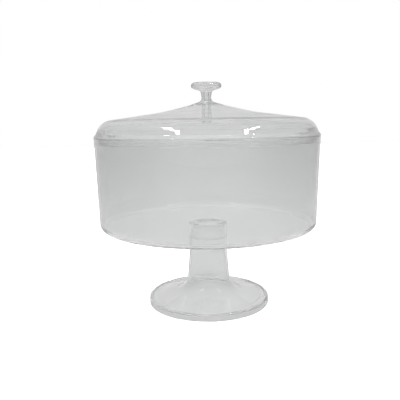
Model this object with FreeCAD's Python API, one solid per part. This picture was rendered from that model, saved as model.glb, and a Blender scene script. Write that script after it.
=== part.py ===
"""Clear plastic cake stand with a drop-on dome lid.

A round footed pedestal carries a straight-sided bowl on a bayonet. The pedestal's neck has three lugs, and
they lock over the ledges of the collar under the bowl's floor. A low bell-shaped lid drops into the bowl's
mouth on a short skirt, and a mushroom knob is pressed into the boss under its crown.

Millimetres, +Z up, origin on the table at the centre of the foot. -Y is the front.
"""

import FreeCAD
import Part

import math
import os

# ---------------------------------------------------------------- driving dimensions
LID_RADIUS = 125.2  # tip of the lid's flange, the widest point of the object
LID_SEAT_Z = 191.2  # underside of the lid's flange
LID_WALL = 2.2
SEAT_GAP = 0.05  # between faces that rest on each other across a joint

BOWL_RIM_RADIUS = 124.9
BOWL_BASE_RADIUS = 122.2  # where the wall's line meets the base's line
BOWL_BASE_Z = 90.2
BOWL_WALL = 2.3
BOWL_FLOOR = 2.5

HUB_RADIUS = 21.9  # the collar under the floor, flush with the top of the stem
HUB_BOTTOM_Z = 77.5
HUB_BORE_RADIUS = 18.9
BUTTON_RADIUS = 20.1  # the raised round in the middle of the floor, over the collar's bore
BUTTON_BEVEL = 1.4  # how much narrower its top is than its foot
BUTTON_TOP_Z = 93.7
BUTTON_UNDER_Z = 91.1
RECESS_RADIUS = 11.7
RECESS_DEPTH = 0.8
RECESS_LIP = 1.6  # width of the rounded slope from the recess up to the button's top

LUG_COUNT = 3
LUG_WIDTH_DEG = 25.7
LUG_MIDDLE_DEG = 250.0  # first lug, counter-clockwise from +X
LUG_RADIUS = 20.15
LUG_BOTTOM_Z = 81.8
LUG_TOP_Z = 88.7
POCKET_RADIUS = 20.4
POCKET_BOTTOM_Z = 81.5
POCKET_TOP_Z = 89.3
TWIST_DEG = 30.0  # the bowl turns counter-clockwise, seen from above, from locked to free
TWIST_PLAY_DEG = 0.8

NECK_RADIUS = 18.6
NECK_TOP_Z = 90.4
STEM_RADIUS = 22.0
STEM_WALL = 2.3
FOOT_RADIUS = 69.6
FOOT_RIM_Z = 8.3  # top of the rounded bead round the foot's plate
FOOT_VALLEY_RADIUS = 64.7  # where the plate meets the bead
FOOT_VALLEY_Z = 7.2
FOOT_WALL = 2.4
FOOT_STEP_RADIUS = 59.5  # the plate is a little thicker outside this circle
FOOT_STEP = 0.5
FOOT_GROOVE_RADIUS = 64.8  # foot of the groove under the bead
FOOT_GROOVE_TOP_RADIUS = 65.6
FOOT_GROOVE_Z = 6.1  # its top: the underside follows the bead

KNOB_SEAT_Z = 232.5  # top of the lid's collar
KNOB_TOP_Z = 250.5
KNOB_RADIUS = 16.9
SHANK_RADIUS = 3.9
SHANK_CORE_RADIUS = 2.3
BOSS_RADIUS = 5.5
BOSS_BOTTOM_Z = 215.0

NIB_COUNT = 3
NIB_FIRST_DEG = 217.0  # first centring nib, counter-clockwise from +X
NIB_WIDTH = 1.6
NIB_HEIGHT = 3.0
NIB_RADIUS = 122.1

AXIS_BASE = FreeCAD.Vector(0, 0, 0)
AXIS_UP = FreeCAD.Vector(0, 0, 1)


# ---------------------------------------------------------------- outlines
def at(r, z):
    """A point of an outline: distance from the axis and height."""
    return FreeCAD.Vector(r, 0, z)


def rounded_outline(corners):
    """A closed wire of straight lines through corners (r, z, fillet radius), rounded by tangent arcs."""
    edges = []
    starts = []
    ends = []
    middles = []
    count = len(corners)
    for i in range(count):
        here = at(*corners[i][:2])
        back = (at(*corners[i - 1][:2]) - here).normalize()
        ahead = (at(*corners[(i + 1) % count][:2]) - here).normalize()
        half = back.getAngle(ahead) / 2
        radius = corners[i][2] if len(corners[i]) > 2 else 0
        if radius == 0 or half > math.pi / 2 - 1e-6:
            starts.append(here)
            ends.append(here)
            middles.append(None)
            continue
        reach = radius / math.tan(half)
        starts.append(here + back * reach)
        ends.append(here + ahead * reach)
        bisector = (back + ahead).normalize()
        middles.append(here + bisector * (radius / math.sin(half) - radius))
    for i in range(count):
        if middles[i] is not None:
            edges.append(Part.Arc(starts[i], middles[i], ends[i]).toShape())
        following = starts[(i + 1) % count]
        run = following - ends[i]
        side = at(*corners[(i + 1) % count][:2]) - at(*corners[i][:2])
        if run.dot(side) < -1e-6:
            raise ValueError(f"the fillets at {corners[i]} and at the next corner don't fit between them")
        if run.Length > 1e-6:
            edges.append(Part.LineSegment(ends[i], following).toShape())
    return Part.Wire(Part.__sortEdges__(edges))


def turned(corners):
    """The solid that an outline sweeps in one turn about the vertical axis."""
    return Part.Face(rounded_outline(corners)).revolve(AXIS_BASE, AXIS_UP, 360)


def ring_sector(inner, outer, bottom, top, middle_deg, width_deg):
    """A block of a ring between two radii and two heights, width_deg wide about middle_deg."""
    profile = rounded_outline([(inner, bottom), (outer, bottom), (outer, top), (inner, top)])
    block = Part.Face(profile).revolve(AXIS_BASE, AXIS_UP, width_deg)
    block.rotate(AXIS_BASE, AXIS_UP, middle_deg - width_deg / 2)
    return block


def round_about(count, first_deg):
    """The angles of count places spaced evenly round the axis."""
    return [first_deg + 360 * i / count for i in range(count)]


def export(name, shape):
    """Writes one sub-part, after making sure that it is sound."""
    if not shape.isValid() or not shape.Solids:
        raise RuntimeError(f"{name} isn't a sound solid")
    solids = shape.Solids
    kept = solids[0] if len(solids) == 1 else Part.makeCompound(solids)
    kept.exportStep(f"parts/{name}.step")
    print(f"{name}: {len(solids)} solid(s), {kept.Volume / 1000:.1f} cm3")


# ---------------------------------------------------------------- lid
def lid():
    """Bell crown, rounded shoulder, flange and skirt in one moulding, with the knob's collar and boss."""
    skirt_outer = 121.5
    skirt_inner = 118.9
    skirt_drop = 7.0
    skirt_lead_in = 0.7  # how far the skirt narrows below the nibs
    collar_radius = 6.0
    crown = [  # top surface from the collar out to the shoulder: (r, height over the seat, fillet)
        (collar_radius, 39.1, 2.2),
        (19.0, 34.7, 100),
        (50.0, 27.05, 250),
        (116.6, 18.1, 19),
    ]
    outside = [(r, LID_SEAT_Z + h, f) for r, h, f in crown]
    inside = [
        (115.1, LID_SEAT_Z + 16.1, 16),
        (50.0, LID_SEAT_Z + 27.05 - LID_WALL * 1.02, 250),
        (19.0, LID_SEAT_Z + 34.7 - LID_WALL * 1.04, 100),
        (BOSS_RADIUS, LID_SEAT_Z + 36.0, 2.0),
    ]
    flange = [
        (122.7, LID_SEAT_Z + 4.4, 1.6),
        (LID_RADIUS, LID_SEAT_Z + 1.3, 0.5),
        (LID_RADIUS, LID_SEAT_Z, 0.4),
        (skirt_outer, LID_SEAT_Z, 0.3),
        (skirt_outer, LID_SEAT_Z - NIB_HEIGHT),
        (skirt_outer - skirt_lead_in, LID_SEAT_Z - skirt_drop, 0.7),
        (skirt_inner, LID_SEAT_Z - skirt_drop, 0.7),
        (skirt_inner, LID_SEAT_Z + 7.5, 1.2),
    ]
    collar = [(SHANK_RADIUS, KNOB_SEAT_Z, 0.3), (collar_radius, KNOB_SEAT_Z, 0.5)]
    boss = [(BOSS_RADIUS, BOSS_BOTTOM_Z, 0.9), (SHANK_RADIUS, BOSS_BOTTOM_Z, 0.3)]
    shell = turned(collar + outside + flange + inside + boss)
    nib = Part.makeBox(NIB_RADIUS - skirt_outer + 1, NIB_WIDTH, NIB_HEIGHT)
    nib.translate(FreeCAD.Vector(skirt_outer - 1, -NIB_WIDTH / 2, LID_SEAT_Z - NIB_HEIGHT))
    for angle in round_about(NIB_COUNT, NIB_FIRST_DEG):
        placed = nib.copy()
        placed.rotate(AXIS_BASE, AXIS_UP, angle)
        shell = shell.fuse(placed)
    return shell


def knob():
    """Mushroom knob with a dished top, on a cored shank that presses into the lid's boss."""
    core_top_z = 241.5
    shank_end_z = BOSS_BOTTOM_Z - 0.8
    return turned(
        [
            (0, KNOB_TOP_Z - 1.4),
            (9.0, KNOB_TOP_Z - 1.2, 30),
            (14.2, KNOB_TOP_Z, 1.6),
            (KNOB_RADIUS, KNOB_TOP_Z - 1.6, 2.2),
            (KNOB_RADIUS - 0.2, KNOB_TOP_Z - 6.0, 2.0),
            (7.0, KNOB_TOP_Z - 9.2, 1.8),
            (6.1, KNOB_TOP_Z - 11.4, 8),
            (5.3, KNOB_SEAT_Z + 1.6, 1.6),
            (5.7, KNOB_SEAT_Z, 0.4),
            (SHANK_RADIUS, KNOB_SEAT_Z, 0),
            (SHANK_RADIUS, shank_end_z, 0.6),
            (SHANK_CORE_RADIUS, shank_end_z, 0.3),
            (SHANK_CORE_RADIUS, core_top_z, 0.8),
            (0, core_top_z),
        ]
    )


# ---------------------------------------------------------------- bowl
def bowl():
    """Tapered wall and flat floor, with a raised button in the middle and the bayonet's collar under it."""
    rim_z = LID_SEAT_Z - SEAT_GAP
    floor_z = BOWL_BASE_Z + BOWL_FLOOR
    recess_z = BUTTON_TOP_Z - RECESS_DEPTH
    shell = turned(
        [
            (0, recess_z),
            (RECESS_RADIUS, recess_z, 1.2),
            (RECESS_RADIUS + RECESS_LIP, BUTTON_TOP_Z, 2.4),
            (BUTTON_RADIUS - BUTTON_BEVEL, BUTTON_TOP_Z, 1.6),
            (BUTTON_RADIUS, floor_z, 0.8),
            (BOWL_BASE_RADIUS - BOWL_WALL, floor_z, 6.0),
            (BOWL_RIM_RADIUS - BOWL_WALL, rim_z, 1.0),
            (BOWL_RIM_RADIUS, rim_z, 1.0),
            (BOWL_BASE_RADIUS, BOWL_BASE_Z, 7.5),
            (HUB_RADIUS, BOWL_BASE_Z, 0.3),
            (HUB_RADIUS, HUB_BOTTOM_Z, 0.7),
            (HUB_BORE_RADIUS, HUB_BOTTOM_Z, 0.4),
            (HUB_BORE_RADIUS, BUTTON_UNDER_Z, 1.5),
            (0, BUTTON_UNDER_Z),
        ]
    )
    inner = HUB_BORE_RADIUS - 1
    entry_width = LUG_WIDTH_DEG + 2 * TWIST_PLAY_DEG
    run_width = entry_width + TWIST_DEG
    for angle in round_about(LUG_COUNT, LUG_MIDDLE_DEG):
        entry_middle = angle - TWIST_DEG
        run_middle = angle - TWIST_DEG / 2
        entry = ring_sector(inner, POCKET_RADIUS, HUB_BOTTOM_Z - 1, POCKET_TOP_Z, entry_middle, entry_width)
        run = ring_sector(inner, POCKET_RADIUS, POCKET_BOTTOM_Z, POCKET_TOP_Z, run_middle, run_width)
        shell = shell.cut(run.fuse(entry))
    return shell


# ---------------------------------------------------------------- pedestal
def under_plate(r, corner, slope):
    """Height of the underside of the foot's sloping plate at a radius."""
    return corner[1] - slope * (r - corner[0]) - FOOT_WALL


def pedestal():
    """Hollow stem flaring into a shallow round foot, open underneath, with three lugs on its neck."""
    shoulder_z = HUB_BOTTOM_Z - SEAT_GAP
    plate_corner = (25.4, 15.7)  # where the stem's line meets the plate's
    plate_slope = (plate_corner[1] - FOOT_VALLEY_Z) / (FOOT_VALLEY_RADIUS - plate_corner[0])
    outside = [
        (0, NECK_TOP_Z),
        (NECK_RADIUS, NECK_TOP_Z, 2.2),
        (NECK_RADIUS, shoulder_z, 0.5),
        (HUB_RADIUS, shoulder_z, 0.8),
        (STEM_RADIUS, 59.0, 150),
        (*plate_corner, 24),
        (FOOT_VALLEY_RADIUS, FOOT_VALLEY_Z, 0.6),
        (FOOT_VALLEY_RADIUS + 1.1, FOOT_RIM_Z, 1.0),
        (FOOT_RADIUS - 0.3, FOOT_RIM_Z, 2.0),
        (FOOT_RADIUS, 0, 0.5),
    ]
    cap_under_z = NECK_TOP_Z - 2.4
    neck_inner = NECK_RADIUS - 2.4
    stem_inner = STEM_RADIUS - STEM_WALL
    step_z = under_plate(FOOT_STEP_RADIUS, plate_corner, plate_slope)
    rim_inner = FOOT_RADIUS - FOOT_WALL
    groove_foot_z = under_plate(FOOT_GROOVE_RADIUS, plate_corner, plate_slope) - FOOT_STEP
    inside = [
        (rim_inner, 0, 0.5),
        (rim_inner - 0.2, FOOT_GROOVE_Z, 1.0),
        (FOOT_GROOVE_TOP_RADIUS, FOOT_GROOVE_Z, 0.3),
        (FOOT_GROOVE_RADIUS, groove_foot_z, 0.4),
        (FOOT_STEP_RADIUS + 0.3, step_z - FOOT_STEP),
        (FOOT_STEP_RADIUS, step_z),
        (plate_corner[0] - 2.1, under_plate(plate_corner[0] - 2.1, plate_corner, plate_slope), 26.4),
        (stem_inner, 59.0, 150),
        (stem_inner, 73.5, 1.5),
        (neck_inner, 76.0, 1.5),
        (neck_inner, cap_under_z, 2.9),
        (0, cap_under_z),
    ]
    stand = turned(outside + inside)
    for angle in round_about(LUG_COUNT, LUG_MIDDLE_DEG):
        lug = ring_sector(NECK_RADIUS - 1, LUG_RADIUS, LUG_BOTTOM_Z, LUG_TOP_Z, angle, LUG_WIDTH_DEG)
        stand = stand.fuse(lug)
    return stand


os.makedirs("parts", exist_ok=True)
export("pedestal", pedestal())
export("bowl", bowl())
export("lid", lid())
export("knob", knob())
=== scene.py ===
import bpy
import math
from mathutils import Matrix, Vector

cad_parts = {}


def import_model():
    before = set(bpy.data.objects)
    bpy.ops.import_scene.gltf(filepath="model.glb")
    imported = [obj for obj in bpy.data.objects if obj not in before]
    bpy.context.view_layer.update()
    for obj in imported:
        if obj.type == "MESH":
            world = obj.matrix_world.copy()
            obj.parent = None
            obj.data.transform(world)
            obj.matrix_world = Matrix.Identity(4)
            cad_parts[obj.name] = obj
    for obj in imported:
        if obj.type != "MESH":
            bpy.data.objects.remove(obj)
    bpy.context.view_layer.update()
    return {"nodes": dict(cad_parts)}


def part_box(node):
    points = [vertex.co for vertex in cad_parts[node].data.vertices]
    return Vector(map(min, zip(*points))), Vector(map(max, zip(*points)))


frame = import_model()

# Looks of a clear moulded cake stand. Every CAD node keeps its shape and gets a clear-plastic material.
# Units are metres, in the CAD's own frame.

MM = 0.001
RIM_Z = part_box("bowl")[1].z


# ---------------------------------------------------------------- node helpers
def new_material(name):
    """An empty node material and its node tree."""
    material = bpy.data.materials.new(name)
    material.use_nodes = True
    material.node_tree.nodes.clear()
    return material, material.node_tree


def node(tree, kind, values=None, **settings):
    """A shader node with its settings and its unlinked inputs."""
    made = tree.nodes.new(kind)
    for key, value in settings.items():
        setattr(made, key, value)
    for key, value in (values or {}).items():
        made.inputs[key].default_value = value
    return made


def noise(tree, coordinates, scale, detail=3.0, roughness=0.5):
    """Noise on the object's own coordinates, as a value about 0.5."""
    made = node(tree, "ShaderNodeTexNoise", {"Scale": scale, "Detail": detail, "Roughness": roughness})
    tree.links.new(coordinates, made.inputs["Vector"])
    return made.outputs["Fac"]


def remap(tree, value, low, high, to_low, to_high):
    """Spreads a value between two limits onto two others, clamped."""
    made = node(
        tree,
        "ShaderNodeMapRange",
        {"From Min": low, "From Max": high, "To Min": to_low, "To Max": to_high},
    )
    tree.links.new(value, made.inputs["Value"])
    return made.outputs["Result"]


def stretched(tree, coordinates, scale):
    """Coordinates scaled unevenly, for marks that run one way."""
    made = node(tree, "ShaderNodeMapping", {"Scale": scale})
    tree.links.new(coordinates, made.inputs["Vector"])
    return made.outputs["Vector"]


# ---------------------------------------------------------------- clear plastic
TINT = (0.955, 0.96, 0.96)
PLASTIC_IOR = 1.5
FILM_COLOR = (0.86, 0.87, 0.87, 1.0)
SHADOW_COLOR = (0.985, 0.985, 0.985, 1.0)
RIPPLE_SCALE = 26.0  # noise scales are per metre
PATCH_SCALE = 9.0
SCRATCH_SCALES = ((60.0, 900.0, 900.0), (900.0, 60.0, 700.0))  # two sets of marks, along X and along Y
SCRATCH_FROM = 0.66  # noise values at which a scratch starts and is full
SCRATCH_FULL = 0.76
SCRATCH_STRENGTH = 0.12
SCRATCH_DEPTH = 0.006 * MM
SCRATCH_ROUGHNESS = 0.12  # added where a scratch is full


def clear_plastic(name, haze, roughness, ripple_mm):
    """Clear moulded plastic: slow ripples, hairline scratches, patchy haze, and light let through."""
    material, tree = new_material(name)
    link = tree.links.new
    place = node(tree, "ShaderNodeTexCoord").outputs["Object"]

    ripple = noise(tree, place, RIPPLE_SCALE, 2.0)
    scratches = node(tree, "ShaderNodeMath", operation="MAXIMUM")
    for socket, scale in zip(scratches.inputs, SCRATCH_SCALES):
        link(noise(tree, stretched(tree, place, scale), 1.0, 2.0, 0.7), socket)
    worn = remap(tree, scratches.outputs["Value"], SCRATCH_FROM, SCRATCH_FULL, 0.0, 1.0)

    wave = node(tree, "ShaderNodeBump", {"Strength": 1.0, "Distance": ripple_mm * MM})
    link(ripple, wave.inputs["Height"])
    hairline = node(tree, "ShaderNodeBump", {"Strength": SCRATCH_STRENGTH, "Distance": SCRATCH_DEPTH})
    link(worn, hairline.inputs["Height"])
    link(wave.outputs["Normal"], hairline.inputs["Normal"])

    patches = noise(tree, place, PATCH_SCALE, 4.0, 0.6)
    rough = node(tree, "ShaderNodeMath", operation="MULTIPLY_ADD")
    rough.inputs[1].default_value = SCRATCH_ROUGHNESS
    link(worn, rough.inputs[0])
    link(remap(tree, patches, 0.3, 0.7, roughness * 0.5, roughness * 1.5), rough.inputs[2])

    body = node(
        tree,
        "ShaderNodeBsdfPrincipled",
        {"Base Color": (*TINT, 1.0), "IOR": PLASTIC_IOR, "Transmission Weight": 1.0},
    )
    link(rough.outputs["Value"], body.inputs["Roughness"])
    link(hairline.outputs["Normal"], body.inputs["Normal"])

    film = node(tree, "ShaderNodeBsdfDiffuse", {"Color": FILM_COLOR})
    hazy = node(tree, "ShaderNodeMixShader")
    link(remap(tree, patches, 0.25, 0.75, haze * 0.5, haze * 1.5), hazy.inputs["Fac"])
    link(body.outputs["BSDF"], hazy.inputs[1])
    link(film.outputs["BSDF"], hazy.inputs[2])

    through = node(tree, "ShaderNodeBsdfTransparent", {"Color": SHADOW_COLOR})
    ray = node(tree, "ShaderNodeLightPath")
    lit = node(tree, "ShaderNodeMixShader")
    link(ray.outputs["Is Shadow Ray"], lit.inputs["Fac"])
    link(hazy.outputs["Shader"], lit.inputs[1])
    link(through.outputs["BSDF"], lit.inputs[2])
    out = node(tree, "ShaderNodeOutputMaterial")
    link(lit.outputs["Shader"], out.inputs["Surface"])
    return material


BODY = clear_plastic("clear_body_plastic", haze=0.03, roughness=0.02, ripple_mm=0.008)
STEM = clear_plastic("clear_stem_plastic", haze=0.05, roughness=0.03, ripple_mm=0.06)
KNOB = clear_plastic("clear_knob_plastic", haze=0.01, roughness=0.02, ripple_mm=0.006)

for name, material in (("bowl", BODY), ("lid", BODY), ("pedestal", STEM), ("knob", KNOB)):
    for slot in frame["nodes"][name].material_slots:
        slot.material = material


# ---------------------------------------------------------------- stage
FLOOR_HALF = 4.0
FLOOR_WHITE = 0.98
FLOOR_NEAR = 0.335  # painted light: a lighter grey within FLOOR_NEAR_RADIUS of the object's axis, where the plastic's shadow falls
FLOOR_FAR = 0.295  # grey beyond FLOOR_FAR_RADIUS
FLOOR_NEAR_RADIUS = 0.10
FLOOR_FAR_RADIUS = 0.40
FLOOR_SIDES = 0.35  # painted shade: this share of the same grey, well to either side
FLOOR_MIDDLE_TO = 0.50  # sideways share of the distance at which that darkening starts
FLOOR_SIDES_FROM = 0.85  # and at which it is full
FLOOR_SHARE_OFFSET = 0.3  # added to the distance in that share, so that it stays small near the object
ROOM_MIDDLE = 0.64
ROOM_SIDES = 0.22
ROOM_MIDDLE_TO = 0.45  # sideways part of the direction at which the room starts to darken
ROOM_SIDES_FROM = 0.95
CEILING_STRENGTH = 4.5
CEILING_SPREAD_DEG = 120
STRIP_HEIGHT = 1.3  # over the bowl's rim
LEFT_STRIP_X = -0.61 * STRIP_HEIGHT
RIGHT_STRIP_X = 0.79 * STRIP_HEIGHT
STRIP_WIDTH = 0.11
STRIP_LENGTH = 0.85
STRIP_MIDDLE_Y = -0.80
STRIP_POWER = 10.5


def white_to_the_eye(tree, grey, white):
    """White for what the camera sees directly, and the given grey for all that the plastic shows of it."""
    ray = node(tree, "ShaderNodeLightPath")
    mix = node(tree, "ShaderNodeMix", data_type="RGBA")
    mix.inputs["B"].default_value = (white, white, white, 1.0)
    tree.links.new(ray.outputs["Is Camera Ray"], mix.inputs["Factor"])
    tree.links.new(grey, mix.inputs["A"])
    return mix.outputs["Result"]


def floor():
    """Plain pale table top, large enough to have no edge in any view.

    Seen through the plastic it is grey, and darker away from the object and to the sides: painted light near
    the object, where the plastic's shadow falls, and painted shade to either side, which darkens the
    plastic's edges.
    """
    half = FLOOR_HALF
    corners = [(-half, -half, 0), (half, -half, 0), (half, half, 0), (-half, half, 0)]
    mesh = bpy.data.meshes.new("floor")
    mesh.from_pydata(corners, [], [(0, 1, 2, 3)])
    table = bpy.data.objects.new("floor", mesh)
    bpy.context.scene.collection.objects.link(table)
    material, tree = new_material("floor_paper")
    place = node(tree, "ShaderNodeTexCoord").outputs["Object"]
    away = node(tree, "ShaderNodeVectorMath", operation="LENGTH")
    tree.links.new(place, away.inputs[0])
    split = node(tree, "ShaderNodeSeparateXYZ")
    tree.links.new(place, split.inputs["Vector"])
    aside = node(tree, "ShaderNodeMath", operation="ABSOLUTE")
    tree.links.new(split.outputs["X"], aside.inputs[0])
    beyond = node(tree, "ShaderNodeMath", operation="ADD")
    beyond.inputs[1].default_value = FLOOR_SHARE_OFFSET
    tree.links.new(away.outputs["Value"], beyond.inputs[0])
    sideways = node(tree, "ShaderNodeMath", operation="DIVIDE")
    tree.links.new(aside.outputs["Value"], sideways.inputs[0])
    tree.links.new(beyond.outputs["Value"], sideways.inputs[1])
    # painted light: the floor is lighter near the object, where the plastic's shadow falls, and greyer
    # further out
    near_light_painted = remap(
        tree, away.outputs["Value"], FLOOR_NEAR_RADIUS, FLOOR_FAR_RADIUS, FLOOR_NEAR, FLOOR_FAR
    )
    # painted shade: the floor darkens to either side, which darkens the plastic's edges
    side_shade_painted = remap(tree, sideways.outputs["Value"], FLOOR_MIDDLE_TO, FLOOR_SIDES_FROM, 1.0, FLOOR_SIDES)
    shade = node(tree, "ShaderNodeMath", operation="MULTIPLY")
    tree.links.new(near_light_painted, shade.inputs[0])
    tree.links.new(side_shade_painted, shade.inputs[1])
    paper = node(tree, "ShaderNodeBsdfDiffuse")
    tree.links.new(white_to_the_eye(tree, shade.outputs["Value"], FLOOR_WHITE), paper.inputs["Color"])
    out = node(tree, "ShaderNodeOutputMaterial")
    tree.links.new(paper.outputs["BSDF"], out.inputs["Surface"])
    mesh.materials.append(material)


def world():
    """Pale studio round the object: white where it is seen directly, grey in and through the plastic."""
    made = bpy.data.worlds.new("studio")
    bpy.context.scene.world = made
    made.use_nodes = True
    tree = made.node_tree
    tree.nodes.clear()
    split = node(tree, "ShaderNodeSeparateXYZ")
    tree.links.new(node(tree, "ShaderNodeTexCoord").outputs["Generated"], split.inputs["Vector"])
    side = node(tree, "ShaderNodeMath", operation="ABSOLUTE")
    tree.links.new(split.outputs["X"], side.inputs[0])
    shade = remap(tree, side.outputs["Value"], ROOM_MIDDLE_TO, ROOM_SIDES_FROM, ROOM_MIDDLE, ROOM_SIDES)
    back = node(tree, "ShaderNodeBackground")
    tree.links.new(white_to_the_eye(tree, shade, 1.0), back.inputs["Color"])
    out = node(tree, "ShaderNodeOutputWorld")
    tree.links.new(back.outputs["Background"], out.inputs["Surface"])


def strip_lamp(name, x):
    """A long narrow lamp over one side of the table, running from front to back and shining straight down."""
    data = bpy.data.lights.new(name, "AREA")
    data.shape = "RECTANGLE"
    data.size = STRIP_WIDTH
    data.size_y = STRIP_LENGTH
    data.energy = STRIP_POWER
    made = bpy.data.objects.new(name, data)
    bpy.context.scene.collection.objects.link(made)
    made.location = (x, STRIP_MIDDLE_Y, RIM_Z + STRIP_HEIGHT)


def ceiling_light(strength, spread_deg):
    """Very soft light straight down, the same over the whole floor, with no reflection of its own."""
    data = bpy.data.lights.new("ceiling", "SUN")
    data.energy = strength
    data.angle = math.radians(spread_deg)
    data.cycles.use_multiple_importance_sampling = False  # so that the plastic's shadow isn't too dark
    made = bpy.data.objects.new("ceiling", data)
    bpy.context.scene.collection.objects.link(made)
    made.visible_glossy = False
    made.visible_transmission = False


floor()
world()
ceiling_light(CEILING_STRENGTH, CEILING_SPREAD_DEG)
strip_lamp("left_lamp", LEFT_STRIP_X)
strip_lamp("right_lamp", RIGHT_STRIP_X)


# ---------------------------------------------------------------- camera
CAMERA_BACK = 556.8 * MM
CAMERA_LEFT = 8.8 * MM
CAMERA_OVER_RIM = 14.0 * MM
CAMERA_DOWN = math.radians(8.82)
CAMERA_ROLL = math.radians(-0.89)
CAMERA_LENS = 44.09
CAMERA_SENSOR = 36.0

camera_data = bpy.data.cameras.new("camera")
camera_data.lens = CAMERA_LENS
camera_data.sensor_width = CAMERA_SENSOR
camera = bpy.data.objects.new("camera", camera_data)
bpy.context.scene.collection.objects.link(camera)
tilt = Matrix.Rotation(math.pi / 2 - CAMERA_DOWN, 4, "X") @ Matrix.Rotation(CAMERA_ROLL, 4, "Z")
camera.matrix_world = Matrix.Translation((-CAMERA_LEFT, -CAMERA_BACK, RIM_Z + CAMERA_OVER_RIM)) @ tilt
bpy.context.scene.camera = camera

scene = bpy.context.scene
scene.view_settings.view_transform = "Standard"
# Light is guided a long way inside the clear walls, so paths are followed further than usual.
scene.cycles.max_bounces = 48
scene.cycles.transmission_bounces = 32
scene.cycles.glossy_bounces = 24
scene.cycles.transparent_max_bounces = 24
scene.cycles.caustics_reflective = False
scene.cycles.caustics_refractive = False
scene.cycles.sample_clamp_indirect = 4.0
